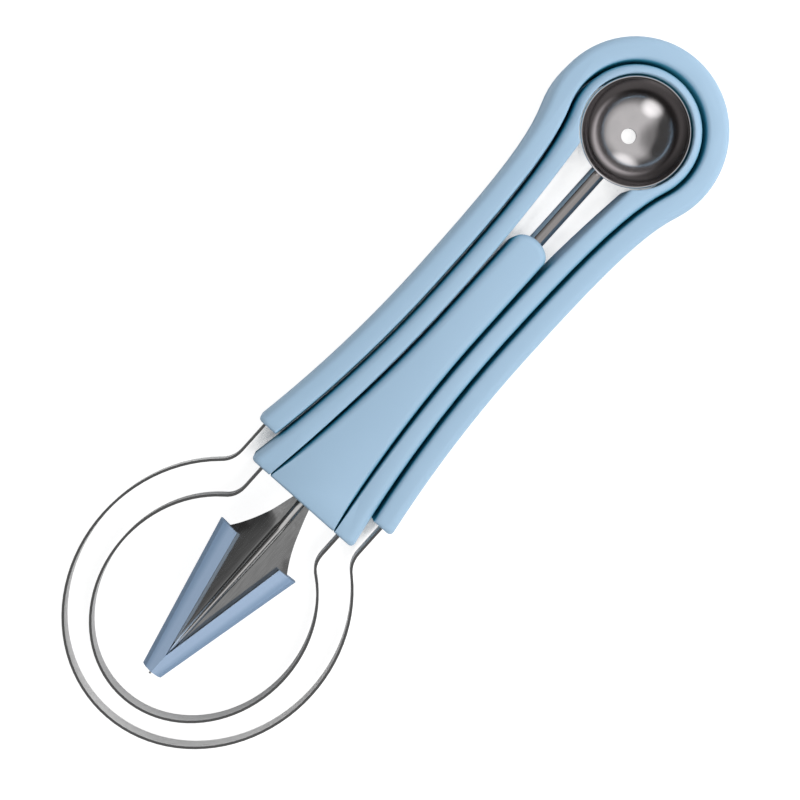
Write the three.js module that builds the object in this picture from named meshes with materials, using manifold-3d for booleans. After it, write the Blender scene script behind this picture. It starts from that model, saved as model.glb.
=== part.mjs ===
// Nested fruit tool set: two loop separators with keyhole frame handles, and between their arms
// a double-ended tool with a vented scoop at one end and a folded carving blade at the other.
// The set lies on its back. X is across, +Y runs along it to the scoop, +Z is up to the front faces.
// Distances along the set are measured from the scoop's centre towards the loops.
import * as THREE from 'three';
import { mergeVertices } from 'three/addons/utils/BufferGeometryUtils.js';
import Module from 'manifold-3d';

const wasm = await Module();
wasm.setup();

// Nest: thickness of all three handles and the clearances between them
const handleThickness = 13.5;
const grooveGap = 1.1;
const seatGap = 0.3;
const fitGap = 0.3;
const sideRound = 2.2;
const innerRound = 1;
const endRound = 0.9;
const backRound = 0.7;
const endCorner = 1.2;

// Scoop, which sets the size of the rings round it
const scoopRimRadius = 14.8;
const scoopDepth = 10.4;
const scoopWall = 0.7;
const scoopRimBelowFront = 1.2;
const ventRadius = 2.05;
const rimGap = 0.35;
const rimRound = 0.5;
const stemRadius = 2.15;
const stemHeight = 8;
const stemEmbed = 20;

// Handle of the small separator
const smallRingWall = 2.5;
const waistDistance = 64.3;
const smallWaistHalfWidth = 11.4;
const smallEndHalfWidth = 17.9;
const smallEndDistance = 130.65;
const ringTangentAngle = THREE.MathUtils.degToRad(-21);
const waistHandle = 35;
const ringHandle = 9;
const channelWaistHalfWidth = 6.45;
const channelEndHalfWidth = 11.4;
const channelNeckHalfWidth = 9.5;
const channelNeckShare = 0.5;

// Handle of the large separator
const largeArmWidth = 6.1;
const largeEndDistance = 121.6;

// Handle of the scoop and knife tool
const gripTopDistance = 38.2;
const gripDomeHeight = 3.8;
const gripEndCorner = 0.4;

// Steel loops, strips standing on edge in the back half of the handles
const bandThickness = 0.7;
const bandHeight = 5.6;
const bandLift = 0.9;
const bandEmbed = 8;
const largeLoopHalfWidth = 37.1;
const largeLoopHalfLength = 40.5;
const largeLoopDistance = 167.8;
const largeLegOffset = 21.1;
const smallLoopHalfWidth = 28.8;
const smallLoopHalfLength = 32.3;
const smallLoopDistance = 169.4;
const smallLegOffset = 14;
const legBend = 3.6;

// Carving blade, folded sheet in the front half of the handles
const bladeThickness = 0.8;
const bladeRidgeHeight = 13.6;
const tangRidgeHeight = 10.6;
const bladeTangHalfWidth = 2.7;
const bladeTangEmbed = 12;
const bladeShoulderHalfWidth = 11.2;
const bladeShoulderLength = 18.5;
const bladeTipLength = 58.9;
const bladeTipHalfWidth = 0.35;
const bladeFold = 0.4;
const neckFold = 0.14;
const neckCreaseStart = 6.6;
const neckCreaseEnd = 8.4;
const flareLinearShare = 0.66;
const edgeBevel = 2.2;
const edgeHalfThickness = 0.12;
const ribHalfWidth = 1.15;
const ribHeight = 0.5;
const ribCrownShare = 0.4;
const ribTangShare = 0.2;
const ribTipShare = 0.3;

// Edge guard, a plastic channel over both cutting edges
const guardStart = 17;
const guardTipShow = 0.5;
const guardTopHalfWidth = 13.1;
const guardTipHalfWidth = 3.1;
const guardWindowHalfWidth = 7.4;
const guardTipSolid = 5.4;
const guardUpperLip = 1.2;
const guardLowerLip = 0.8;
const guardEdgeRound = 1.1;

// Facet counts
const arcSteps = 24;
const curveSteps = 10;
const neckSteps = 3;
const roundSteps = 4;
const loopSteps = 36;
const bendSteps = 6;
const latheSides = 48;
const bowlSteps = 9;
const stemSides = 24;

const smallRingHole = scoopRimRadius + rimGap;
const smallRingRadius = smallRingHole + smallRingWall;
const largeArmOffset = grooveGap + largeArmWidth;
const seatTaper = grooveGap - seatGap;
const guardLength = bladeTipLength - guardStart - guardTipShow;
const guardWindowLength = guardLength - guardTipSolid;

// Geometry helpers

// Closed solid through a stack of outlines with equal point counts, each counter-clockwise
function loft(rings, place) {
  const count = rings[0].points.length;
  const positions = [];
  const faces = [];
  for (const ring of rings) {
    for (const point of ring.points) {
      positions.push(...place(point.x, point.y, ring.level).toArray());
    }
  }
  for (let level = 0; level + 1 < rings.length; level += 1) {
    for (let i = 0; i < count; i += 1) {
      const a = level * count + i;
      const b = level * count + (i + 1) % count;
      faces.push(a, b, b + count, a, b + count, a + count);
    }
  }
  const last = (rings.length - 1) * count;
  for (const [a, b, c] of THREE.ShapeUtils.triangulateShape(rings[0].points, [])) {
    faces.push(c, b, a);
  }
  for (const [a, b, c] of THREE.ShapeUtils.triangulateShape(rings.at(-1).points, [])) {
    faces.push(last + a, last + b, last + c);
  }
  const geometry = new THREE.BufferGeometry();
  geometry.setAttribute('position', new THREE.Float32BufferAttribute(positions, 3));
  geometry.setIndex(faces);
  return geometry;
}

const placePlan = (x, y, level) => new THREE.Vector3(x, y, level);
const placeSection = (x, z, distance) => new THREE.Vector3(x, -distance, z);

function solid(geometry) {
  const bare = geometry.clone();
  bare.deleteAttribute('normal');
  bare.deleteAttribute('uv');
  const merged = mergeVertices(bare, 1e-5);
  return new wasm.Manifold(new wasm.Mesh({
    numProp: 3,
    vertProperties: new Float32Array(merged.attributes.position.array),
    triVerts: new Uint32Array(merged.index.array),
  }));
}

function geometryOf(body) {
  const mesh = body.getMesh();
  const geometry = new THREE.BufferGeometry();
  geometry.setAttribute('position', new THREE.BufferAttribute(mesh.vertProperties, 3));
  geometry.setIndex(new THREE.BufferAttribute(mesh.triVerts, 1));
  geometry.computeVertexNormals();
  return geometry;
}

function box(minimum, maximum) {
  const size = new THREE.Vector3().subVectors(maximum, minimum);
  const centre = new THREE.Vector3().addVectors(minimum, maximum).multiplyScalar(0.5);
  return new THREE.BoxGeometry(size.x, size.y, size.z).translate(centre.x, centre.y, centre.z);
}

// Full outline from the points of its right side, listed from the end up to the top
function mirrored(rightSide) {
  const leftSide = rightSide.map((point) => new THREE.Vector2(-point.x, point.y)).reverse();
  const onAxis = Math.abs(rightSide.at(-1).x) < 1e-6;
  return [...rightSide, ...(onAxis ? leftSide.slice(1) : leftSide)];
}

function cornerPoints(sideX, endY, radius) {
  const arc = new THREE.EllipseCurve(sideX - radius, endY + radius, radius, radius, -Math.PI / 2, 0);
  return arc.getPoints(roundSteps).slice(0, -1);
}

// Levels and insets of a block with a small round at the back and full rounds at the front
function roundedLevels() {
  const back = [];
  const front = [];
  for (let i = 0; i <= roundSteps; i += 1) {
    const angle = (i / roundSteps) * Math.PI / 2;
    const inset = 1 - Math.cos(angle);
    const rise = 1 - Math.sin(angle);
    back.unshift({ level: backRound * rise, side: backRound * inset, end: backRound * inset });
    front.push({ level: handleThickness - sideRound * rise, side: sideRound * inset, end: endRound * inset });
  }
  return [...back, ...front];
}

// Handle outlines

// Keyhole outline that follows the small separator's outer edge at an offset
function keyholeOutline(offset, endDistance, corner) {
  const flareSpan = smallEndDistance - waistDistance;
  const flare = smallEndHalfWidth - smallWaistHalfWidth;
  const halfWidthAt = (distance) => (
    smallWaistHalfWidth + offset + flare * ((distance - waistDistance) / flareSpan) ** 2
  );
  const points = [];
  if (corner > 0) {
    points.push(...cornerPoints(halfWidthAt(endDistance - corner), -endDistance, corner));
  }
  for (let i = 0; i < curveSteps; i += 1) {
    const distance = THREE.MathUtils.lerp(endDistance - corner, waistDistance, i / curveSteps);
    points.push(new THREE.Vector2(halfWidthAt(distance), -distance));
  }
  const radius = smallRingRadius + offset;
  const waist = new THREE.Vector2(smallWaistHalfWidth + offset, -waistDistance);
  const tangent = new THREE.Vector2(-Math.sin(ringTangentAngle), Math.cos(ringTangentAngle));
  const ringStart = new THREE.Vector2(Math.cos(ringTangentAngle), Math.sin(ringTangentAngle));
  ringStart.multiplyScalar(radius);
  const neck = new THREE.CubicBezierCurve(
    waist,
    new THREE.Vector2(waist.x, waist.y + waistHandle),
    ringStart.clone().addScaledVector(tangent, -ringHandle),
    ringStart,
  );
  points.push(...neck.getPoints(curveSteps).slice(0, -1));
  const ring = new THREE.EllipseCurve(0, 0, radius, radius, ringTangentAngle, Math.PI / 2);
  points.push(...ring.getPoints(arcSteps));
  points.at(-1).x = 0;
  return mirrored(points);
}

// Edge of the channel between the small separator's arms, from its open end up to the ring. An inset is a
// wall's taper towards the back, which dies out at both ends; an outset is the round at the front
function channelEdge(inset, endDistance) {
  const points = [];
  const lowerSpan = smallEndDistance - waistDistance;
  const lowerFlare = channelEndHalfWidth - channelWaistHalfWidth;
  for (let i = 0; i < curveSteps; i += 1) {
    const distance = THREE.MathUtils.lerp(endDistance, waistDistance, i / curveSteps);
    const flare = (lowerFlare + inset) * ((distance - waistDistance) / lowerSpan) ** 2;
    points.push(new THREE.Vector2(channelWaistHalfWidth - inset + flare, -distance));
  }
  const neckTop = smallRingHole * channelNeckShare;
  const upper = new THREE.QuadraticBezierCurve(
    new THREE.Vector2(channelWaistHalfWidth - inset, -waistDistance),
    new THREE.Vector2(channelWaistHalfWidth - inset, -(waistDistance + neckTop) / 2),
    new THREE.Vector2(channelNeckHalfWidth - Math.min(inset, 0), -neckTop),
  );
  points.push(...upper.getPoints(curveSteps));
  return points;
}

// Outline of the grip, which keeps the groove to the channel's arms and closes up to a seat at its end,
// where its side rounds die out too
function gripOutline(inset, endInset, corner) {
  const endDistance = smallEndDistance - endInset;
  const span = smallEndDistance - waistDistance;
  const waist = channelWaistHalfWidth - grooveGap - inset;
  const flare = channelEndHalfWidth - seatGap - (channelWaistHalfWidth - grooveGap);
  const halfWidthAt = (distance) => {
    const share = (distance - waistDistance) / span;
    return waist + flare * share ** 2 + inset * share ** 4;
  };
  const points = [...cornerPoints(halfWidthAt(endDistance - corner), -endDistance, corner)];
  for (let i = 0; i < curveSteps; i += 1) {
    const distance = THREE.MathUtils.lerp(endDistance - corner, waistDistance, i / curveSteps);
    points.push(new THREE.Vector2(halfWidthAt(distance), -distance));
  }
  const domeCentre = -(gripTopDistance + gripDomeHeight);
  const dome = new THREE.EllipseCurve(0, domeCentre, waist, gripDomeHeight - inset, 0, Math.PI / 2);
  points.push(...dome.getPoints(curveSteps));
  points.at(-1).x = 0;
  return mirrored(points);
}

// Steel loops

// Centre line of a loop's right half, from the top of its leg round to the far end
function loopHalfLine(loop) {
  const halfWidth = loop.halfWidth - bandThickness / 2;
  const halfLength = loop.halfLength - bandThickness / 2;
  const legX = loop.legOffset - bandThickness / 2;
  const meetAngle = Math.acos(legX / halfWidth);
  const meetY = -loop.distance + halfLength * Math.sin(meetAngle);
  const startAngle = meetAngle - legBend / halfLength;
  const onLoop = (angle) => new THREE.Vector2(
    halfWidth * Math.cos(angle),
    -loop.distance + halfLength * Math.sin(angle),
  );
  const bend = new THREE.QuadraticBezierCurve(
    new THREE.Vector2(legX, meetY + legBend),
    new THREE.Vector2(legX, meetY),
    onLoop(startAngle),
  );
  const points = [new THREE.Vector2(legX, -loop.endDistance + bandEmbed), ...bend.getPoints(bendSteps)];
  for (let i = 1; i <= loopSteps; i += 1) {
    points.push(onLoop(THREE.MathUtils.lerp(startAngle, -Math.PI / 2, i / loopSteps)));
  }
  points.at(-1).x = 0;
  return points;
}

// Plan outline of a strip of the given thickness along a centre line
function stripOutline(line, thickness) {
  const side = (sign) => line.map((point, i) => {
    const before = line[Math.max(0, i - 1)];
    const after = line[Math.min(line.length - 1, i + 1)];
    const along = new THREE.Vector2().subVectors(after, before).normalize();
    return new THREE.Vector2(along.y, -along.x).multiplyScalar(sign * thickness / 2).add(point);
  });
  return [...side(-1), ...side(1).reverse()];
}

function loopBand(loop) {
  const half = loopHalfLine(loop);
  const line = mirrored(half);
  const shape = new THREE.Shape(stripOutline(line, bandThickness));
  const options = { depth: bandHeight, bevelEnabled: false };
  return solid(new THREE.ExtrudeGeometry(shape, options).translate(0, 0, bandLift));
}

// Slots for a loop's two legs in the end faces of its handle
function legSlots(loop) {
  const legX = loop.legOffset - bandThickness / 2;
  const halfSlot = bandThickness / 2 + fitGap;
  const slots = [-1, 1].map((sign) => solid(box(
    new THREE.Vector3(sign * legX - halfSlot, -loop.endDistance - fitGap, bandLift - fitGap),
    new THREE.Vector3(sign * legX + halfSlot, -loop.endDistance + bandEmbed + fitGap,
      bandLift + bandHeight + fitGap),
  )));
  return slots[0].add(slots[1]);
}

const largeLoop = {
  halfWidth: largeLoopHalfWidth,
  halfLength: largeLoopHalfLength,
  distance: largeLoopDistance,
  legOffset: largeLegOffset,
  endDistance: largeEndDistance,
};
const smallLoop = {
  halfWidth: smallLoopHalfWidth,
  halfLength: smallLoopHalfLength,
  distance: smallLoopDistance,
  legOffset: smallLegOffset,
  endDistance: smallEndDistance,
};

// Separator handles

// Block of a keyhole frame with rounded outer edges
function frameBlock(offset, endDistance) {
  const rings = roundedLevels().map(({ level, side, end }) => ({
    points: keyholeOutline(offset - side, endDistance - end, endCorner),
    level,
  }));
  return solid(loft(rings, placePlan));
}

// Levels and offsets of a space cut out from the front: tapered walls, then rounds out to the front faces
function spaceLevels() {
  const slope = seatTaper / handleThickness;
  const levels = [{ level: -fitGap, offset: seatGap - slope * fitGap }];
  for (let i = 0; i <= roundSteps; i += 1) {
    const angle = (i / roundSteps) * Math.PI / 2;
    const level = handleThickness - innerRound * (1 - Math.sin(angle));
    const spread = innerRound * (1 - Math.cos(angle));
    levels.push({ level, offset: seatGap + slope * level + spread });
  }
  levels.push({ ...levels.at(-1), level: handleThickness + fitGap });
  return levels;
}

// Space for the nested handle, wider at the front than at the back so that it lifts out
function nestSpace() {
  const pastEnd = smallEndDistance + endCorner;
  const rings = spaceLevels().map(({ level, offset }) => ({
    points: keyholeOutline(offset, pastEnd, 0),
    level,
  }));
  return solid(loft(rings, placePlan));
}

function largeLoopHandle() {
  return frameBlock(largeArmOffset, largeEndDistance).subtract(nestSpace()).subtract(legSlots(largeLoop));
}

// Hole round the scoop, with a small round at the front
function scoopHole() {
  const front = new THREE.EllipseCurve(
    smallRingHole + rimRound, handleThickness - rimRound, rimRound, rimRound, Math.PI, Math.PI / 2, true,
  );
  const profile = [
    new THREE.Vector2(0, -fitGap),
    new THREE.Vector2(smallRingHole, -fitGap),
    ...front.getPoints(roundSteps),
    new THREE.Vector2(smallRingHole + rimRound, handleThickness + fitGap),
    new THREE.Vector2(0, handleThickness + fitGap),
  ];
  return solid(new THREE.LatheGeometry(profile, latheSides).rotateX(Math.PI / 2));
}

// Channel for the grip and stem, tapered like the nest, and the hole round the scoop
function channelSpace() {
  const pastEnd = smallEndDistance + endCorner;
  const rings = spaceLevels().map(({ level, offset }) => ({
    points: mirrored(channelEdge(grooveGap - offset, pastEnd)),
    level,
  }));
  return solid(loft(rings, placePlan)).add(scoopHole());
}

function smallLoopHandle() {
  return frameBlock(0, smallEndDistance).subtract(channelSpace()).subtract(legSlots(smallLoop));
}

// Carving blade

// Cross-section of the folded sheet: ridge and rib in the middle, wings falling to the edges
function bladeSection(station, clearance) {
  const { ridge, fold, edge, rib } = station;
  const half = bladeThickness / 2 + clearance;
  const width = station.width + clearance;
  const bevel = Math.min(edgeBevel, width / 2);
  const ribBase = ribHalfWidth * rib + clearance;
  const ribCrown = ribHalfWidth * rib * ribCrownShare + clearance / 2;
  const height = (x) => ridge - fold * x;
  const upper = [
    new THREE.Vector2(width, height(width) + edge + clearance),
    new THREE.Vector2(width - bevel, height(width - bevel) + half),
    new THREE.Vector2(ribBase, height(ribBase) + half),
    new THREE.Vector2(ribCrown, ridge + half + ribHeight * rib),
  ];
  const lower = [
    new THREE.Vector2(0, ridge - half),
    new THREE.Vector2(width - bevel, height(width - bevel) - half),
    new THREE.Vector2(width, height(width) - edge - clearance),
  ];
  const left = upper.map((point) => new THREE.Vector2(-point.x, point.y)).reverse();
  const lowerLeft = lower.slice(1).map((point) => new THREE.Vector2(-point.x, point.y)).reverse();
  return [...lowerLeft, ...lower, ...upper, ...left];
}

// Half-width of the blade's neck, flaring from the tang to the shoulders
function neckHalfWidth(length) {
  const share = length / bladeShoulderLength;
  const flare = flareLinearShare * share + (1 - flareLinearShare) * share ** 3;
  return bladeTangHalfWidth + (bladeShoulderHalfWidth - bladeTangHalfWidth) * flare;
}

// Blade from its tang to its tip; lengths are measured from the end of the grip. Its ridge rises from the
// flat tang to the wings, which fold down past a crease
function bladeStations() {
  const blunt = bladeThickness / 2;
  const stations = [-bladeTangEmbed, 0].map((length) => ({
    length,
    width: bladeTangHalfWidth,
    ridge: tangRidgeHeight,
    fold: neckFold,
    edge: blunt,
    rib: ribTangShare,
  }));
  const neckLengths = [fitGap, neckCreaseStart / 2, neckCreaseStart, neckCreaseEnd];
  for (let i = 1; i <= neckSteps; i += 1) {
    neckLengths.push(THREE.MathUtils.lerp(neckCreaseEnd, bladeShoulderLength, i / neckSteps));
  }
  for (const length of neckLengths) {
    const rise = Math.min(1, length / neckCreaseEnd);
    stations.push({
      length,
      width: neckHalfWidth(length),
      ridge: THREE.MathUtils.lerp(tangRidgeHeight, bladeRidgeHeight, rise),
      fold: length > neckCreaseStart ? bladeFold : neckFold,
      edge: length > guardStart ? edgeHalfThickness : blunt,
      rib: 1,
    });
  }
  stations.push({
    length: bladeTipLength,
    width: bladeTipHalfWidth,
    ridge: bladeRidgeHeight,
    fold: bladeFold,
    edge: edgeHalfThickness,
    rib: ribTipShare,
  });
  return stations;
}

function bladeBody(clearance) {
  const rings = bladeStations().map((station) => ({
    points: bladeSection(station, clearance),
    level: smallEndDistance + station.length,
  }));
  rings[0].level -= clearance;
  return solid(loft(rings, placeSection));
}

// Edge guard

// Chevron block that follows the blade's fold, with rounded outer edges in plan
function guardBlock() {
  const half = bladeThickness / 2 + fitGap;
  const height = (x) => bladeRidgeHeight - bladeFold * x;
  const start = smallEndDistance + guardStart;
  const stationsAlong = [
    { level: start, width: guardTopHalfWidth },
    { level: start + guardLength, width: guardTipHalfWidth },
  ];
  const rings = stationsAlong.map(({ level, width }) => {
    const rightSide = [
      new THREE.Vector2(0, height(0) - half - guardLowerLip),
      new THREE.Vector2(width - guardEdgeRound, height(width - guardEdgeRound) - half - guardLowerLip),
    ];
    const edgeMiddle = height(width) + (guardUpperLip - guardLowerLip) / 2;
    const edgeHalf = half + (guardUpperLip + guardLowerLip) / 2;
    for (let i = 1; i < 2 * roundSteps; i += 1) {
      const angle = -Math.PI / 2 + (i / (2 * roundSteps)) * Math.PI;
      const x = width - guardEdgeRound * (1 - Math.cos(angle));
      rightSide.push(new THREE.Vector2(x, edgeMiddle + edgeHalf * Math.sin(angle)));
    }
    rightSide.push(new THREE.Vector2(
      width - guardEdgeRound,
      height(width - guardEdgeRound) + half + guardUpperLip,
    ));
    rightSide.push(new THREE.Vector2(0, height(0) + half + guardUpperLip));
    const leftSide = rightSide.slice(1, -1).map((point) => new THREE.Vector2(-point.x, point.y)).reverse();
    return { points: [...rightSide, ...leftSide], level };
  });
  return solid(loft(rings, placeSection));
}

// Window between the guard's wings
function guardWindow() {
  const start = smallEndDistance + guardStart;
  const outline = [
    new THREE.Vector2(guardWindowHalfWidth, -start + fitGap),
    new THREE.Vector2(guardWindowHalfWidth, -start),
    new THREE.Vector2(0, -start - guardWindowLength),
    new THREE.Vector2(-guardWindowHalfWidth, -start),
    new THREE.Vector2(-guardWindowHalfWidth, -start + fitGap),
  ].reverse();
  const rings = [0, 2 * handleThickness].map((level) => ({ points: outline, level }));
  return solid(loft(rings, placePlan));
}

function bladeGuard() {
  return guardBlock().subtract(guardWindow()).subtract(bladeBody(fitGap));
}

// Scoop

const scoopRimHeight = handleThickness - scoopRimBelowFront;
const scoopSphere = (scoopRimRadius ** 2 + scoopDepth ** 2) / (2 * scoopDepth);
const scoopSphereHeight = scoopRimHeight - scoopDepth + scoopSphere;

// Spherical bowl with an open vent at its bottom
function scoopBowl() {
  const innerSphere = scoopSphere - scoopWall;
  const wallPoints = (sphere, rimRadius) => {
    const ventAngle = Math.asin(ventRadius / sphere);
    const rimAngle = Math.acos((scoopSphereHeight - scoopRimHeight) / sphere);
    const points = [];
    for (let i = 0; i <= bowlSteps; i += 1) {
      const angle = THREE.MathUtils.lerp(ventAngle, rimAngle, i / bowlSteps);
      points.push(new THREE.Vector2(
        sphere * Math.sin(angle),
        scoopSphereHeight - sphere * Math.cos(angle),
      ));
    }
    points[0].x = ventRadius;
    points.at(-1).set(rimRadius, scoopRimHeight);
    return points;
  };
  const innerRim = Math.sqrt(innerSphere ** 2 - (scoopSphereHeight - scoopRimHeight) ** 2);
  const outer = wallPoints(scoopSphere, scoopRimRadius);
  const inner = wallPoints(innerSphere, innerRim).reverse();
  const profile = [...outer, ...inner, outer[0].clone()];
  return solid(new THREE.LatheGeometry(profile, latheSides).rotateX(Math.PI / 2));
}

function stemRod(radius, fromDistance, toDistance) {
  const rod = new THREE.CylinderGeometry(radius, radius, toDistance - fromDistance, stemSides);
  return solid(rod.translate(0, -(fromDistance + toDistance) / 2, stemHeight));
}

// Round stem, its upper end cut to the bowl's outside
function scoopStem() {
  const rod = stemRod(stemRadius, scoopRimRadius / 2, gripTopDistance + stemEmbed);
  const bowlSpace = new THREE.SphereGeometry(scoopSphere + fitGap, latheSides, bowlSteps * 4);
  return rod.subtract(solid(bowlSpace.translate(0, 0, scoopSphereHeight)));
}

// Grip between stem and blade, with a blind hole for the stem and a slot for the tang
function scoopKnifeHandle() {
  const rings = roundedLevels().map(({ level, side, end }) => ({
    points: gripOutline(side, end, gripEndCorner),
    level,
  }));
  const stemHole = stemRod(
    stemRadius + fitGap,
    gripTopDistance - stemRadius,
    gripTopDistance + stemEmbed + fitGap,
  );
  return solid(loft(rings, placePlan)).subtract(stemHole).subtract(bladeBody(fitGap));
}

// Assembly

const handlePlastic = { color: 0xa9c4de, roughness: 0.5, metalness: 0 };
const guardPlastic = { color: 0x8fa9cc, roughness: 0.5, metalness: 0 };
const polishedSteel = { color: 0xb8b8b8, roughness: 0.12, metalness: 1 };
const brushedSteel = { color: 0x9a9a9a, roughness: 0.35, metalness: 1 };

function node(name, body, finish) {
  const mesh = new THREE.Mesh(geometryOf(body), new THREE.MeshStandardMaterial(finish));
  mesh.name = name;
  return mesh;
}

const largeSeparator = new THREE.Group();
largeSeparator.add(node('large_loop_handle', largeLoopHandle(), handlePlastic));
largeSeparator.add(node('large_loop_band', loopBand(largeLoop), brushedSteel));

const smallSeparator = new THREE.Group();
smallSeparator.add(node('small_loop_handle', smallLoopHandle(), handlePlastic));
smallSeparator.add(node('small_loop_band', loopBand(smallLoop), brushedSteel));

const scoopKnife = new THREE.Group();
scoopKnife.add(node('scoop_knife_handle', scoopKnifeHandle(), handlePlastic));
scoopKnife.add(node('scoop_stem', scoopStem(), polishedSteel));
scoopKnife.add(node('scoop_bowl', scoopBowl(), polishedSteel));
scoopKnife.add(node('carving_blade', bladeBody(0), brushedSteel));
scoopKnife.add(node('blade_guard', bladeGuard(), guardPlastic));

// The origin is on the back plane, half way along the set
const toolSet = new THREE.Group();
toolSet.add(largeSeparator, smallSeparator, scoopKnife);
const topDistance = -(smallRingRadius + largeArmOffset);
const farDistance = largeLoopDistance + largeLoopHalfLength;
toolSet.position.y = (topDistance + farDistance) / 2;

export default toolSet;
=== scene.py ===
import math

import bpy
from mathutils import Matrix, Vector


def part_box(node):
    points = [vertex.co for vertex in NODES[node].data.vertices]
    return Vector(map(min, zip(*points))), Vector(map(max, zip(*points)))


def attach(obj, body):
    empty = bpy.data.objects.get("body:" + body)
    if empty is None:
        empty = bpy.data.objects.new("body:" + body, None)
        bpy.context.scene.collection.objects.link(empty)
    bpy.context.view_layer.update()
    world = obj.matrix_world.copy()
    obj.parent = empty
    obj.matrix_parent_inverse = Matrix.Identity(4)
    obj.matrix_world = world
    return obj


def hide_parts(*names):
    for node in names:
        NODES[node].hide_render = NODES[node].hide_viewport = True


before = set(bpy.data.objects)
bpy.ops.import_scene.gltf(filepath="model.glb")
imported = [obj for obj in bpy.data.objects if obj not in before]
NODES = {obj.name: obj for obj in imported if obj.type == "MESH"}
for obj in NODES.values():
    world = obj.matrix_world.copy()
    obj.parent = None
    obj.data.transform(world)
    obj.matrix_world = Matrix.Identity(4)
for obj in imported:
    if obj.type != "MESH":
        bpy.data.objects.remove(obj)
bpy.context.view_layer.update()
MM = 0.001

# Camera, above the set and a little to its left; its places are in metres, its lens in millimetres
CAMERA_PLACE = Vector((-0.0303, 0.0023, 0.4005))
CAMERA_TARGET = Vector((0.0020, -0.0016, 0.0))
CAMERA_TURN = math.radians(-42.08)
CAMERA_LENS = 67.03
CAMERA_SENSOR = 36.0
CAMERA_CLIP = 0.01

# Floor: what the camera sees of it, with painted shade in narrow gaps, and the grey that lights the set
# from below
FLOOR_SIZE = 6.0
FLOOR_DROP = 0.0001
FLOOR_GAP_REACH = 0.012
FLOOR_GAP_SHARES = (0.115, 0.21)
FLOOR_GAP_SHADE = (0.006, 0.03, 0.055)
FLOOR_GLOW = 0.9
FLOOR_PAPER = 0.3
FLOOR_BOUNCE = 0.85

# Lamps, in metres and watts
KEY_PLACE = (0.32, -0.06, 0.38)
KEY_SIZE = (0.3, 0.4)
KEY_POWER = 1.32
END_LAMP_PLACE = (0.12, 0.36, 0.24)
END_LAMP_SIZE = (0.3, 0.3)
END_LAMP_POWER = 1.05
FILL_PLACE = (-0.42, -0.03, 0.1)
FILL_SIZE = (0.2, 0.5)
FILL_POWER = 0.4

# Light from all round on the plastic, and the least that the steel reflects
EVEN_LIGHT = 0.38
STUDIO_LOWEST = 0.05

# Studio in the steel's reflections: direction, outer and inner half-angle in degrees, and strength
STUDIO_LOBES = (
    ((0.0, 0.0, 1.0), 180.0, 179.0, 0.07),
    ((0.12, 0.04, 0.99), 72.0, 42.0, 0.46),
    ((-0.62, -0.3, 0.72), 42.0, 8.0, -0.34),
    ((0.14, -0.87, 0.47), 25.0, 2.0, 0.85),
    ((-0.3, 0.9, 0.32), 28.0, 2.0, 0.85),
)

# Values that several materials share; the scales below are in cells for each metre
WHITE = (1.0, 1.0, 1.0)
EVEN_STRETCH = (1.0, 1.0, 1.0)
FINE_DETAIL = 3.0
RAMP_ENDS = (0.3, 0.7)
OCCLUSION_SAMPLES = 8

# Plastic: drift of its colour, painted light and shade in its grooves, fine grain and satin
DRIFT_SCALE = 40.0
DRIFT_ENDS = (0.1, 0.9)
GROOVE_REACH = 4.5 * MM
GROOVE_SHARES = (0.15, 0.95)
GRAIN_SCALE = 5200.0
GRAIN_HEIGHT = 0.02 * MM
GRAIN_STRENGTH = 0.35
SATIN_SCALE = 900.0
SATIN_DETAIL = 2.0
SATIN_SPREAD = 0.05
PLASTIC_IOR = 1.46

# Guard's arms, for their painted shading: lean, distance of the middle line at y = 0, and half-width of
# the change
GUARD_ARM_SLOPE = 0.2115
GUARD_MIDDLE = 22.1 * MM
GUARD_BLEND = 1.3 * MM

# Steel: brush marks, zones of painted highlight and painted dark reflection, and turned rings
BRUSH_SCALE = 2600.0
BRUSH_STRENGTH = 0.3
MARK_HEIGHT = 0.01 * MM
STEEL_ROUGHNESS_SHARES = (0.8, 1.2)
STEM_STRETCH = (1.0, 0.04, 1.0)
BLADE_STRETCH = (1.0, 0.08, 1.0)
STRIP_STRETCH = (0.05, 0.05, 1.0)
STRIP_CUT_FACING = (0.88, 0.99)
RIB_HIGHLIGHT_ZONE = (0.35 * MM, 0.6 * MM)
BOWL_CLOUD_SCALE = 260.0
BOWL_RIM_SHADE_ZONE = (9.7 * MM, 11.4 * MM)
BOWL_LIP_ZONE = (14.15 * MM, 14.35 * MM)
RING_SCALE = 190.0
RING_DISTORTION = 0.6
RING_STRENGTH = 0.25

# Shading of the solids' facets, and the rounds on their edges
MERGE_DISTANCE = 0.000002
SHARP_ANGLE = math.radians(32.0)
HANDLE_ROUND = 0.25 * MM
BAND_ROUND = 0.15 * MM
GUARD_ROUND = 0.8 * MM
FINE_ROUND_STEPS = 2
GUARD_ROUND_STEPS = 6

# Scoop and its stem, in metres
SCOOP_DEPTH = 10.4 * MM
SCOOP_WALL = 0.7 * MM
VENT_RADIUS = 2.05 * MM
LIP_STEPS = 6
BOWL_STEPS = 48
LATHE_SIDES = 128
WELD_SPREAD = 0.5 * MM
WELD_LENGTH = 1.4 * MM
WELD_STEPS = 6

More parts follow.
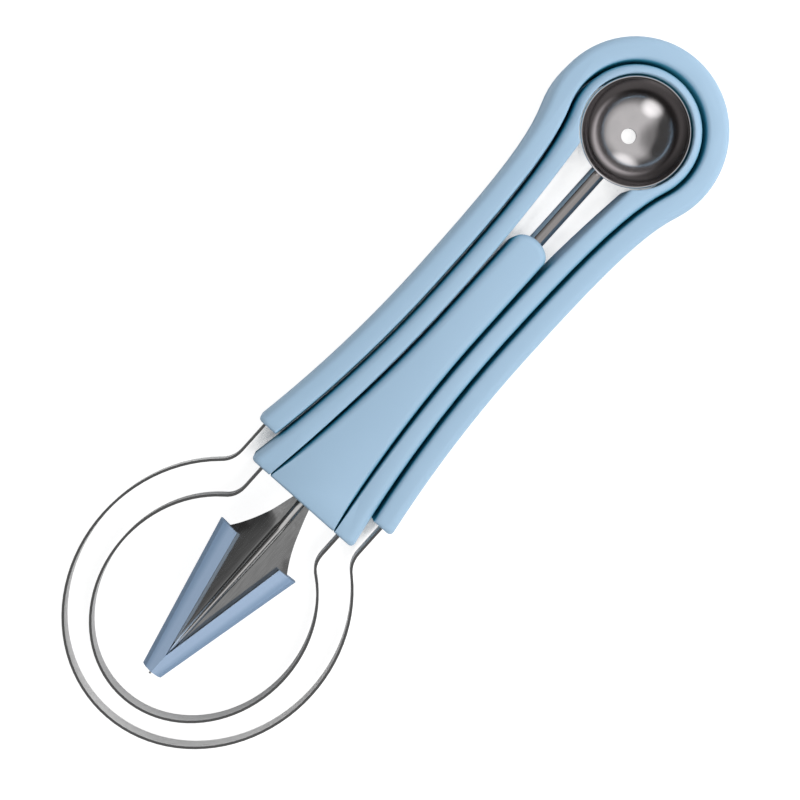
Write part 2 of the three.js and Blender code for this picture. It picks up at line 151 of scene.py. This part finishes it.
# Carving blade, in metres; lengths are measured from the end of the grip
BLADE_THICKNESS = 0.8 * MM
TANG_EMBED = 11.0 * MM
TANG_HALF_WIDTH = 2.7 * MM
SHOULDER_HALF_WIDTH = 11.2 * MM
SHOULDER_LENGTH = 18.5 * MM
TIP_LENGTH = 58.9 * MM
TIP_HALF_WIDTH = 0.35 * MM
POINT_LENGTH = 0.4 * MM
SEAT_DEPTH = 0.2 * MM
SEAT_FILL = 0.28 * MM
FLARE_LINEAR_SHARE = 0.66
TANG_RIDGE = 10.6 * MM
BLADE_RIDGE = 13.6 * MM
RIDGE_RISE_END = 9.5 * MM
NECK_FOLD = 0.14
BLADE_FOLD = 0.4
CREASE = (5.6 * MM, 9.0 * MM)
WING_CROWN = 0.15 * MM
EDGE_START = 15.0 * MM
EDGE_BEVEL = 2.2 * MM
EDGE_HALF_THICKNESS = 0.12 * MM
NECK_STEP = 0.5 * MM
WING_STEP = 2.0 * MM
WING_STEPS = 10

# Blade's rib; places across it are in shares of its half-width
RIB_HALF_WIDTH = 1.05 * MM
RIB_HEIGHT = 0.45 * MM
RIB_SQUARENESS = 3
RIB_TIP_SHARE = 0.3
RIB_SAMPLES = (0.0, 0.25, 0.5, 0.75, 1.0, 1.2, 1.35, 1.5, 1.8)
RIB_ROOM = 1.2
RIB_GROOVE = 0.12 * MM
RIB_GROOVE_PLACE = 1.35
RIB_GROOVE_SPREAD = 0.25


def place_camera():
    """Camera at the photograph's angle, with the frame's up direction turned about the view."""
    data = bpy.data.cameras.new("camera")
    data.lens = CAMERA_LENS
    data.sensor_width = CAMERA_SENSOR
    data.clip_start = CAMERA_CLIP
    camera = bpy.data.objects.new("camera", data)
    back = (CAMERA_PLACE - CAMERA_TARGET).normalized()
    up = Vector((math.sin(CAMERA_TURN), math.cos(CAMERA_TURN), 0.0))
    right = up.cross(back).normalized()
    up = back.cross(right)
    camera.matrix_world = Matrix((
        (right.x, up.x, back.x, CAMERA_PLACE.x),
        (right.y, up.y, back.y, CAMERA_PLACE.y),
        (right.z, up.z, back.z, CAMERA_PLACE.z),
        (0.0, 0.0, 0.0, 1.0),
    ))
    bpy.context.collection.objects.link(camera)
    bpy.context.scene.camera = camera


# Materials

class Nodes:
    """Short form for building a node tree."""

    def __init__(self, tree):
        self.tree = tree

    def add(self, kind, **values):
        node = self.tree.nodes.new(kind)
        for key, value in values.items():
            setattr(node, key, value)
        return node

    def link(self, source, target):
        self.tree.links.new(source, target)

    def feed(self, value, target):
        """Input from another node's output, or a plain colour or number."""
        if isinstance(value, bpy.types.NodeSocket):
            self.link(value, target)
        elif isinstance(value, tuple):
            target.default_value = (*value, 1.0)
        else:
            target.default_value = value


def grey(level):
    return (level, level, level)


def new_material(name, metallic=0.0):
    """Material with its nodes, its shader and the object's own coordinates."""
    material = bpy.data.materials.new(name)
    material.use_nodes = True
    nodes = Nodes(material.node_tree)
    shader = material.node_tree.nodes["Principled BSDF"]
    shader.inputs["Metallic"].default_value = metallic
    place = nodes.add("ShaderNodeTexCoord").outputs["Object"]
    return material, nodes, shader, place


def noise(nodes, place, scale, detail=FINE_DETAIL, stretch=EVEN_STRETCH):
    """Noise over the object's own coordinates, drawn out where the stretch is small."""
    mapping = nodes.add("ShaderNodeMapping")
    mapping.inputs["Scale"].default_value = stretch
    nodes.link(place, mapping.inputs["Vector"])
    texture = nodes.add("ShaderNodeTexNoise")
    texture.inputs["Scale"].default_value = scale
    texture.inputs["Detail"].default_value = detail
    nodes.link(mapping.outputs["Vector"], texture.inputs["Vector"])
    return texture.outputs["Fac"]


def ramp(nodes, factor, low, high, ends=RAMP_ENDS):
    """Colour ramp between two colours, reached at the two ends."""
    node = nodes.add("ShaderNodeValToRGB")
    for element, end, colour in zip(node.color_ramp.elements, ends, (low, high)):
        element.position = end
        element.color = (*colour, 1.0)
    nodes.link(factor, node.inputs["Fac"])
    return node.outputs["Color"]


def spread(nodes, factor, low, high):
    """Value spread between two limits by a factor from 0 to 1."""
    node = nodes.add("ShaderNodeMapRange")
    node.inputs["To Min"].default_value = low
    node.inputs["To Max"].default_value = high
    nodes.link(factor, node.inputs["Value"])
    return node.outputs["Result"]


def smooth_share(nodes, value, limits, start=0.0, finish=1.0):
    """Share that changes smoothly from start to finish as a value passes between two limits."""
    node = nodes.add("ShaderNodeMapRange", interpolation_type="SMOOTHSTEP")
    node.inputs["From Min"].default_value = limits[0]
    node.inputs["From Max"].default_value = limits[1]
    node.inputs["To Min"].default_value = start
    node.inputs["To Max"].default_value = finish
    nodes.link(value, node.inputs["Value"])
    return node.outputs["Result"]


def blend(nodes, share, first, second, kind="RGBA"):
    """Mix of two colours or levels by a share from 0 to 1."""
    node = nodes.add("ShaderNodeMix", data_type=kind)
    nodes.link(share, node.inputs["Factor"])
    nodes.feed(first, node.inputs["A"])
    nodes.feed(second, node.inputs["B"])
    return node.outputs["Result"]


def calculate(nodes, operation, *values):
    """Result of one operation on numbers and other nodes' outputs."""
    node = nodes.add("ShaderNodeMath", operation=operation)
    for value, target in zip(values, node.inputs):
        nodes.feed(value, target)
    return node.outputs[0]


def split(nodes, vector):
    """Outputs X, Y and Z of a vector."""
    node = nodes.add("ShaderNodeSeparateXYZ")
    nodes.link(vector, node.inputs["Vector"])
    return node.outputs


def open_share(nodes, reach):
    """Share of the surroundings within reach that is open, small in grooves and gaps."""
    node = nodes.add("ShaderNodeAmbientOcclusion", samples=OCCLUSION_SAMPLES)
    node.inputs["Distance"].default_value = reach
    return node.outputs["AO"]


def bump(nodes, height, distance, strength, shader):
    node = nodes.add("ShaderNodeBump")
    node.inputs["Strength"].default_value = strength
    node.inputs["Distance"].default_value = distance
    nodes.link(height, node.inputs["Height"])
    nodes.link(node.outputs["Normal"], shader.inputs["Normal"])


def cloud_drift(nodes, place):
    """Faint clouds, as share of a plastic's lighter colour."""
    return noise(nodes, place, DRIFT_SCALE)


def arm_painted_shading(nodes, place):
    """Painted shading across either arm of the guard: share of the lighter colour, which grows towards its
    inner side, so that the outer half is painted darker.
    """
    parts = split(nodes, place)
    aside = calculate(nodes, "ABSOLUTE", parts["X"])
    straightened = calculate(nodes, "MULTIPLY_ADD", parts["Y"], -GUARD_ARM_SLOPE, aside)
    limits = (GUARD_MIDDLE - GUARD_BLEND, GUARD_MIDDLE + GUARD_BLEND)
    return smooth_share(nodes, straightened, limits, start=1.0, finish=0.0)


def moulded_plastic(name, colour, shade, painted_groove_light, roughness, tone_and_shading_of=cloud_drift):
    """Satin moulded plastic: a drift in its colour, painted light and shade in its grooves, and a fine
    grain.
    """
    material, nodes, shader, place = new_material(name)
    # For the guard this ramp paints shade on the outer half of either arm; for the handles it is a faint
    # drift in tone
    tone_and_shading = ramp(nodes, tone_and_shading_of(nodes, place), shade, colour, DRIFT_ENDS)
    # Painted light and shade: where little of the surroundings is open, the colour turns to the groove
    # colour
    in_open = smooth_share(nodes, open_share(nodes, GROOVE_REACH), GROOVE_SHARES)
    nodes.link(blend(nodes, in_open, painted_groove_light, tone_and_shading), shader.inputs["Base Color"])
    bump(nodes, noise(nodes, place, GRAIN_SCALE), GRAIN_HEIGHT, GRAIN_STRENGTH, shader)
    satin = noise(nodes, place, SATIN_SCALE, SATIN_DETAIL)
    rough = spread(nodes, satin, roughness - SATIN_SPREAD, roughness + SATIN_SPREAD)
    nodes.link(rough, shader.inputs["Roughness"])
    shader.inputs["IOR"].default_value = PLASTIC_IOR
    return material


def vary_roughness(nodes, factor, roughness, shader):
    """Steel's roughness, a little lower and higher by a factor from 0 to 1."""
    low, high = STEEL_ROUGHNESS_SHARES
    nodes.link(spread(nodes, factor, roughness * low, roughness * high), shader.inputs["Roughness"])


def brushed_steel(name, colour, shade, roughness):
    """Stem's steel, with fine brush marks along its length."""
    material, nodes, shader, place = new_material(name, metallic=1.0)
    streaks = noise(nodes, place, BRUSH_SCALE, stretch=STEM_STRETCH)
    nodes.link(ramp(nodes, streaks, shade, colour), shader.inputs["Base Color"])
    vary_roughness(nodes, streaks, roughness, shader)
    bump(nodes, streaks, MARK_HEIGHT, BRUSH_STRENGTH, shader)
    return material


def ribbed_steel(name, colour, shade, rib_highlight_colour, roughness):
    """Blade sheet with brush marks along its length and a painted highlight along the top of its rib."""
    material, nodes, shader, place = new_material(name, metallic=1.0)
    streaks = noise(nodes, place, BRUSH_SCALE, stretch=BLADE_STRETCH)
    aside = calculate(nodes, "ABSOLUTE", split(nodes, place)["X"])
    # Painted highlight: the top of the rib takes the bright rib colour
    beside_rib = smooth_share(nodes, aside, RIB_HIGHLIGHT_ZONE)
    sheet = ramp(nodes, streaks, shade, colour)
    nodes.link(blend(nodes, beside_rib, rib_highlight_colour, sheet), shader.inputs["Base Color"])
    vary_roughness(nodes, streaks, roughness, shader)
    bump(nodes, streaks, MARK_HEIGHT, BRUSH_STRENGTH, shader)
    return material


def strip_steel(name, colour, shade, cut_colour, roughness):
    """Steel strip that stands on edge: brush marks along its sides and a darker cut edge on top."""
    material, nodes, shader, place = new_material(name, metallic=1.0)
    streaks = noise(nodes, place, BRUSH_SCALE, stretch=STRIP_STRETCH)
    facing = split(nodes, nodes.add("ShaderNodeNewGeometry").outputs["Normal"])
    on_cut = smooth_share(nodes, facing["Z"], STRIP_CUT_FACING)
    side = ramp(nodes, streaks, shade, colour)
    nodes.link(blend(nodes, on_cut, side, cut_colour), shader.inputs["Base Color"])
    vary_roughness(nodes, streaks, roughness, shader)
    return material


def turned_steel(name, colour, shade, painted_rim_shade, roughness):
    """Bowl's polished steel, with faint turned rings and a painted dark reflection in a zone inside its
    bright lip.
    """
    material, nodes, shader, place = new_material(name, metallic=1.0)
    cloud = noise(nodes, place, BOWL_CLOUD_SCALE)
    flat = nodes.add("ShaderNodeVectorMath", operation="MULTIPLY")
    flat.inputs[1].default_value = (1.0, 1.0, 0.0)
    nodes.link(place, flat.inputs[0])
    radius = nodes.add("ShaderNodeVectorMath", operation="LENGTH")
    nodes.link(flat.outputs["Vector"], radius.inputs[0])
    # Painted dark reflection: a ring inside the lip is painted in the dark rim colour, for the dark
    # surroundings that the steel reflects there
    near_rim = smooth_share(nodes, radius.outputs["Value"], BOWL_RIM_SHADE_ZONE)
    inside_lip = smooth_share(nodes, radius.outputs["Value"], BOWL_LIP_ZONE, start=1.0, finish=0.0)
    in_rim_shade = calculate(nodes, "MULTIPLY", near_rim, inside_lip)
    middle = ramp(nodes, cloud, shade, colour)
    nodes.link(blend(nodes, in_rim_shade, middle, painted_rim_shade), shader.inputs["Base Color"])
    vary_roughness(nodes, cloud, roughness, shader)
    rings = nodes.add("ShaderNodeTexWave", wave_type="RINGS", rings_direction="Z")
    rings.inputs["Scale"].default_value = RING_SCALE
    rings.inputs["Distortion"].default_value = RING_DISTORTION
    nodes.link(place, rings.inputs["Vector"])
    bump(nodes, rings.outputs["Fac"], MARK_HEIGHT, RING_STRENGTH, shader)
    return material


# Solids kept from the frame

def dress(node, material):
    """New material for a CAD node."""
    data = NODES[node].data
    data.materials.clear()
    data.materials.append(material)


def even_shading():
    """Node group that joins a solid's facets and shades them evenly up to a sharp edge."""
    group = bpy.data.node_groups.new("even_shading", "GeometryNodeTree")
    group.interface.new_socket("Geometry", in_out="INPUT", socket_type="NodeSocketGeometry")
    group.interface.new_socket("Geometry", in_out="OUTPUT", socket_type="NodeSocketGeometry")
    nodes = Nodes(group)
    entry = nodes.add("NodeGroupInput")
    merge = nodes.add("GeometryNodeMergeByDistance")
    merge.inputs["Distance"].default_value = MERGE_DISTANCE
    angle = nodes.add("GeometryNodeInputMeshEdgeAngle")
    sharp = nodes.add("FunctionNodeCompare", operation="GREATER_THAN")
    sharp.inputs[1].default_value = SHARP_ANGLE
    shade = nodes.add("GeometryNodeSetMeshNormal", mode="SHARPNESS")
    shade.inputs["Remove Custom"].default_value = True
    leave = nodes.add("NodeGroupOutput")
    nodes.link(entry.outputs[0], merge.inputs["Geometry"])
    nodes.link(merge.outputs["Geometry"], shade.inputs["Mesh"])
    nodes.link(angle.outputs["Unsigned Angle"], sharp.inputs[0])
    nodes.link(sharp.outputs["Result"], shade.inputs["Edge Sharpness"])
    nodes.link(shade.outputs["Mesh"], leave.inputs[0])
    return group


def finish_edges(node, width, segments):
    """Even shading over a CAD node's facets, and fine rounds on its sharp edges."""
    obj = NODES[node]
    obj.modifiers.new("even shading", "NODES").node_group = EVEN_SHADING
    edge = obj.modifiers.new("edge rounds", "BEVEL")
    edge.width = width
    edge.segments = segments
    edge.limit_method = "ANGLE"
    edge.angle_limit = SHARP_ANGLE
    edge.harden_normals = True


# Finer pieces that stand for the steel solids

def add_piece(name, points, faces, origin, node, material):
    """Smooth mesh that rides with the scoop and knife tool and stands for one of its nodes."""
    mesh = bpy.data.meshes.new(name)
    mesh.from_pydata([tuple(Vector(point) - origin) for point in points], [], faces)
    mesh.shade_smooth()
    mesh.set_sharp_from_angle(angle=SHARP_ANGLE)
    mesh.materials.append(material)
    obj = bpy.data.objects.new(name, mesh)
    obj.location = origin
    bpy.context.collection.objects.link(obj)
    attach(obj, "scoop_knife")
    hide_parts(node)


def lathe(profile, place, closed):
    """Points and faces of a turned profile; place gives the point at a radius, a level and an angle."""
    points = []
    faces = []
    count = len(profile)
    spans = count if closed else count - 1
    for side in range(LATHE_SIDES):
        angle = 2.0 * math.pi * side / LATHE_SIDES
        points.extend(place(radius, level, angle) for radius, level in profile)
        turn = side * count
        following = (side + 1) % LATHE_SIDES * count
        for i in range(spans):
            after = (i + 1) % count
            faces.append((turn + i, following + i, following + after, turn + after))
    if not closed:
        faces.append(tuple(side * count for side in reversed(range(LATHE_SIDES))))
        faces.append(tuple(side * count + count - 1 for side in range(LATHE_SIDES)))
    return points, faces


def bowl_sphere():
    """Centre and radius of the sphere that the bowl's outside follows."""
    low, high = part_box("scoop_bowl")
    rim_radius = (high.x - low.x) / 2.0
    radius = (rim_radius ** 2 + SCOOP_DEPTH ** 2) / (2.0 * SCOOP_DEPTH)
    centre = Vector((0.0, (low.y + high.y) / 2.0, high.z - SCOOP_DEPTH + radius))
    return centre, radius


def make_bowl():
    """Vented scoop bowl with a rounded lip."""
    centre, sphere = bowl_sphere()
    half_wall = SCOOP_WALL / 2.0
    lip_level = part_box("scoop_bowl")[1].z - half_wall
    walls = []
    for radius in (sphere, sphere - SCOOP_WALL):
        vent_angle = math.asin(VENT_RADIUS / radius)
        rim_angle = math.acos((centre.z - lip_level) / radius)
        angles = [vent_angle + (rim_angle - vent_angle) * i / BOWL_STEPS for i in range(BOWL_STEPS + 1)]
        walls.append([(radius * math.sin(a), centre.z - radius * math.cos(a)) for a in angles])
    outer, inner = walls
    lip_radius = outer[-1][0] - half_wall
    lip = []
    for i in range(1, LIP_STEPS):
        angle = math.pi * i / LIP_STEPS
        lip.append((lip_radius + half_wall * math.cos(angle), lip_level + half_wall * math.sin(angle)))
    points, faces = lathe(outer + lip + inner[::-1], lambda radius, level, angle: Vector((
        radius * math.cos(angle), centre.y + radius * math.sin(angle), level,
    )), closed=True)
    origin = Vector((0.0, centre.y, lip_level))
    add_piece("bowl", points, faces, origin, "scoop_bowl", TURNED)


def make_stem():
    """Round stem, its upper end set into the bowl's wall with a little weld round it."""
    low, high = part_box("scoop_stem")
    stem_radius = (high.x - low.x) / 2.0
    axis_level = (low.z + high.z) / 2.0
    centre, sphere = bowl_sphere()
    wall_middle = sphere - SCOOP_WALL / 2.0

    def place(around, share, angle):
        """Point on the stem, where a share of 1 lies in the middle of the bowl's wall."""
        x = around * math.cos(angle)
        z = axis_level - around * math.sin(angle)
        meet = centre.y - math.sqrt(wall_middle ** 2 - x ** 2 - (z - centre.z) ** 2)
        return Vector((x, low.y + (meet - low.y) * share, z))

    weld_start = 1.0 - WELD_LENGTH / (high.y - low.y)
    profile = [(stem_radius, 0.0)]
    for i in range(WELD_STEPS + 1):
        share = i / WELD_STEPS
        profile.append((stem_radius + WELD_SPREAD * share ** 2, weld_start + (1.0 - weld_start) * share))
    points, faces = lathe(profile, place, closed=False)
    origin = Vector((0.0, low.y, axis_level))
    add_piece("stem", points, faces, origin, "scoop_stem", POLISHED)


def smooth_step(value, low, high):
    """Share from 0 to 1 that grows smoothly between two limits."""
    share = min(1.0, max(0.0, (value - low) / (high - low)))
    return share * share * (3.0 - 2.0 * share)


def blade_half_width(length):
    """Half the blade's width at one length: tang, flared neck, then wings that narrow to the tip."""
    if length < 0.0:
        return TANG_HALF_WIDTH + SEAT_FILL
    if length < SHOULDER_LENGTH:
        share = length / SHOULDER_LENGTH
        flare = FLARE_LINEAR_SHARE * share + (1.0 - FLARE_LINEAR_SHARE) * share ** 3
        return TANG_HALF_WIDTH + (SHOULDER_HALF_WIDTH - TANG_HALF_WIDTH) * flare
    share = (length - SHOULDER_LENGTH) / (TIP_LENGTH - SHOULDER_LENGTH)
    return max(TIP_HALF_WIDTH, SHOULDER_HALF_WIDTH + (TIP_HALF_WIDTH - SHOULDER_HALF_WIDTH) * share)


def blade_section(length):
    """Upper and lower points of the blade's right half at one length, from the ridge to the edge.

    The tang is a little thicker, so that it fills its seat in the grip.
    """
    width = blade_half_width(length)
    ridge = TANG_RIDGE + (BLADE_RIDGE - TANG_RIDGE) * smooth_step(length, 0.0, RIDGE_RISE_END)
    in_wings = smooth_step(length, *CREASE)
    fold = NECK_FOLD + (BLADE_FOLD - NECK_FOLD) * in_wings
    along = min(1.0, max(0.0, (length - SHOULDER_LENGTH) / (TIP_LENGTH - SHOULDER_LENGTH)))
    half_thickness = BLADE_THICKNESS / 2.0 + (SEAT_FILL if length < 0.0 else 0.0)
    rib_size = 1.0 + (RIB_TIP_SHARE - 1.0) * along if length >= 0.0 else 0.0
    rib_half = min(RIB_HALF_WIDTH * max(rib_size, RIB_TIP_SHARE), width / (RIB_SAMPLES[-1] * RIB_ROOM))
    across = [sample * rib_half for sample in RIB_SAMPLES]
    first = across[-1]
    across.extend(first + (width - first) * (i + 1) / WING_STEPS for i in range(WING_STEPS))
    sharpened = smooth_step(length, EDGE_START - EDGE_BEVEL, EDGE_START)
    bevel = min(EDGE_BEVEL, width / 2.0)
    upper = []
    lower = []
    for x in across:
        middle = ridge - fold * x + WING_CROWN * in_wings * math.sin(math.pi * x / width) * (1.0 - along)
        thin = min(1.0, max(0.0, (x - width + bevel) / bevel)) * sharpened
        half = half_thickness + (EDGE_HALF_THICKNESS - half_thickness) * thin
        place = x / rib_half
        raised = RIB_HEIGHT * rib_size * (1.0 - min(place, 1.0) ** RIB_SQUARENESS)
        from_groove = (place - RIB_GROOVE_PLACE) / RIB_GROOVE_SPREAD
        groove = RIB_GROOVE * rib_size * math.exp(-from_groove ** 2)
        upper.append((x, middle + half + raised - groove))
        lower.append((x, middle - half))
    return upper, lower


def make_blade():
    """Folded blade with a pressed rib, slightly crowned wings and ground edges."""
    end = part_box("scoop_knife_handle")[0].y
    lengths = [-TANG_EMBED, -SEAT_DEPTH, 0.0]
    while lengths[-1] < SHOULDER_LENGTH + 2.0 * NECK_STEP:
        lengths.append(lengths[-1] + NECK_STEP)
    count = math.ceil((TIP_LENGTH - lengths[-1]) / WING_STEP)
    step = (TIP_LENGTH - lengths[-1]) / count
    lengths.extend([lengths[-1] + step * (i + 1) for i in range(count)])
    lengths.append(TIP_LENGTH + POINT_LENGTH)
    points = []
    rings = []
    for length in lengths:
        upper, lower = blade_section(length)
        ring = upper[::-1] + [(-x, z) for x, z in upper[1:]]
        ring += [(-x, z) for x, z in lower[::-1]] + lower[1:]
        rings.append(len(points))
        points.extend((x, end - length, z) for x, z in ring)
    size = rings[1] - rings[0]
    faces = [tuple(reversed(range(size))), tuple(range(rings[-1], rings[-1] + size))]
    for a, b in zip(rings, rings[1:]):
        for i in range(size):
            after = (i + 1) % size
            faces.append((a + i, a + after, b + after, b + i))
    origin = Vector((0.0, end, BLADE_RIDGE))
    add_piece("blade", points, faces, origin, "carving_blade", RIBBED)


# Stage

def matt(nodes, level):
    """Plain matt surface of one grey level."""
    node = nodes.add("ShaderNodeBsdfDiffuse")
    nodes.feed(grey(level), node.inputs["Color"])
    return node.outputs[0]


def make_floor():
    """White floor for the camera, with painted shade only in narrow gaps, which still takes the set's
    shadow.
    """
    bpy.ops.mesh.primitive_plane_add(size=FLOOR_SIZE, location=(0.0, 0.0, -FLOOR_DROP))
    floor = bpy.context.object
    floor.name = "floor"
    material = bpy.data.materials.new("floor_white")
    material.use_nodes = True
    nodes = Nodes(material.node_tree)
    material.node_tree.nodes.clear()
    # Painted shade: narrow gaps, where little is open, glow in a dark colour instead of white
    in_open = smooth_share(nodes, open_share(nodes, FLOOR_GAP_REACH), FLOOR_GAP_SHARES)
    glow = nodes.add("ShaderNodeEmission")
    glow.inputs["Strength"].default_value = FLOOR_GLOW
    nodes.link(blend(nodes, in_open, FLOOR_GAP_SHADE, WHITE), glow.inputs["Color"])
    seen = nodes.add("ShaderNodeAddShader")
    nodes.link(glow.outputs[0], seen.inputs[0])
    nodes.link(matt(nodes, FLOOR_PAPER), seen.inputs[1])
    mix = nodes.add("ShaderNodeMixShader")
    nodes.link(nodes.add("ShaderNodeLightPath").outputs["Is Camera Ray"], mix.inputs[0])
    nodes.link(matt(nodes, FLOOR_BOUNCE), mix.inputs[1])
    nodes.link(seen.outputs[0], mix.inputs[2])
    output = nodes.add("ShaderNodeOutputMaterial")
    nodes.link(mix.outputs[0], output.inputs["Surface"])
    floor.data.materials.append(material)


def studio_lobe(nodes, direction, towards, wide, narrow, strength):
    """Soft patch of the studio round one direction, a lamp or a dark card."""
    dot = nodes.add("ShaderNodeVectorMath", operation="DOT_PRODUCT")
    nodes.link(direction, dot.inputs[0])
    dot.inputs[1].default_value = Vector(towards).normalized()
    limits = (math.cos(math.radians(wide)), math.cos(math.radians(narrow)))
    return smooth_share(nodes, dot.outputs["Value"], limits, finish=strength)


def make_world():
    """White for the camera, even light for the plastic, and a dim studio with soft lamps for the steel."""
    world = bpy.data.worlds.new("studio")
    bpy.context.scene.world = world
    world.use_nodes = True
    nodes = Nodes(world.node_tree)
    direction = nodes.add("ShaderNodeTexCoord").outputs["Generated"]
    studio = 0.0
    for lobe in STUDIO_LOBES:
        studio = calculate(nodes, "ADD", studio, studio_lobe(nodes, direction, *lobe))
    reflected = calculate(nodes, "MAXIMUM", studio, STUDIO_LOWEST)
    rays = nodes.add("ShaderNodeLightPath").outputs
    light = blend(nodes, rays["Is Glossy Ray"], EVEN_LIGHT, reflected, "FLOAT")
    strength = blend(nodes, rays["Is Camera Ray"], light, 1.0, "FLOAT")
    back = world.node_tree.nodes["Background"]
    nodes.feed(WHITE, back.inputs["Color"])
    nodes.link(strength, back.inputs["Strength"])


def make_lamp(name, place, size, power):
    """Soft lamp turned to the set's middle, left out of the reflections."""
    data = bpy.data.lights.new(name, "AREA")
    data.shape = "RECTANGLE"
    data.size, data.size_y = size
    data.energy = power
    lamp = bpy.data.objects.new(name, data)
    lamp.location = place
    lamp.rotation_euler = (-Vector(place)).to_track_quat("-Z", "Y").to_euler()
    lamp.visible_glossy = False
    bpy.context.collection.objects.link(lamp)


place_camera()
make_floor()
make_world()
make_lamp("key", KEY_PLACE, KEY_SIZE, KEY_POWER)
make_lamp("end lamp", END_LAMP_PLACE, END_LAMP_SIZE, END_LAMP_POWER)
make_lamp("fill", FILL_PLACE, FILL_SIZE, FILL_POWER)

EVEN_SHADING = even_shading()
# Groove colours: the handles' darker teal is painted shade, the guard's lighter blue is painted light on
# its shaded inner walls
HANDLE = moulded_plastic(
    "handle_plastic", roughness=0.5,
    colour=(0.36, 0.518, 0.675), shade=(0.34, 0.498, 0.655), painted_groove_light=(0.04, 0.31, 0.43),
)
# The guard's darker colour is painted shade on the outer half of either arm
GUARD = moulded_plastic(
    "guard_plastic", roughness=0.5, tone_and_shading_of=arm_painted_shading,
    colour=(0.32, 0.43, 0.59), shade=(0.21, 0.31, 0.455), painted_groove_light=(0.7, 0.84, 1.0),
)
TURNED = turned_steel(
    "turned_steel", roughness=0.15,
    colour=(0.92, 0.88, 0.89), shade=(0.85, 0.82, 0.83), painted_rim_shade=(0.15, 0.14, 0.14),
)
POLISHED = brushed_steel(
    "stem_steel", roughness=0.15,
    colour=(0.56, 0.53, 0.52), shade=(0.5, 0.47, 0.46),
)
RIBBED = ribbed_steel(
    "blade_steel", roughness=0.2,
    colour=grey(0.42), shade=grey(0.33), rib_highlight_colour=(0.95, 0.93, 0.92),
)
# Two copies of one band steel: the large band's is painted lighter and the small band's darker, as painted
# light and shade
LARGE_BAND = strip_steel(
    "large_band_steel", roughness=0.3,
    colour=grey(0.96), shade=grey(0.9), cut_colour=grey(0.17),
)
SMALL_BAND = strip_steel(
    "small_band_steel", roughness=0.3,
    colour=grey(0.66), shade=grey(0.6), cut_colour=grey(0.17),
)

for part in ("large_loop_handle", "small_loop_handle", "scoop_knife_handle"):
    dress(part, HANDLE)
    finish_edges(part, HANDLE_ROUND, FINE_ROUND_STEPS)
dress("blade_guard", GUARD)
finish_edges("blade_guard", GUARD_ROUND, GUARD_ROUND_STEPS)
for part, band in (("large_loop_band", LARGE_BAND), ("small_loop_band", SMALL_BAND)):
    dress(part, band)
    finish_edges(part, BAND_ROUND, FINE_ROUND_STEPS)
make_bowl()
make_stem()
make_blade()

bpy.context.scene.view_settings.view_transform = "Standard"
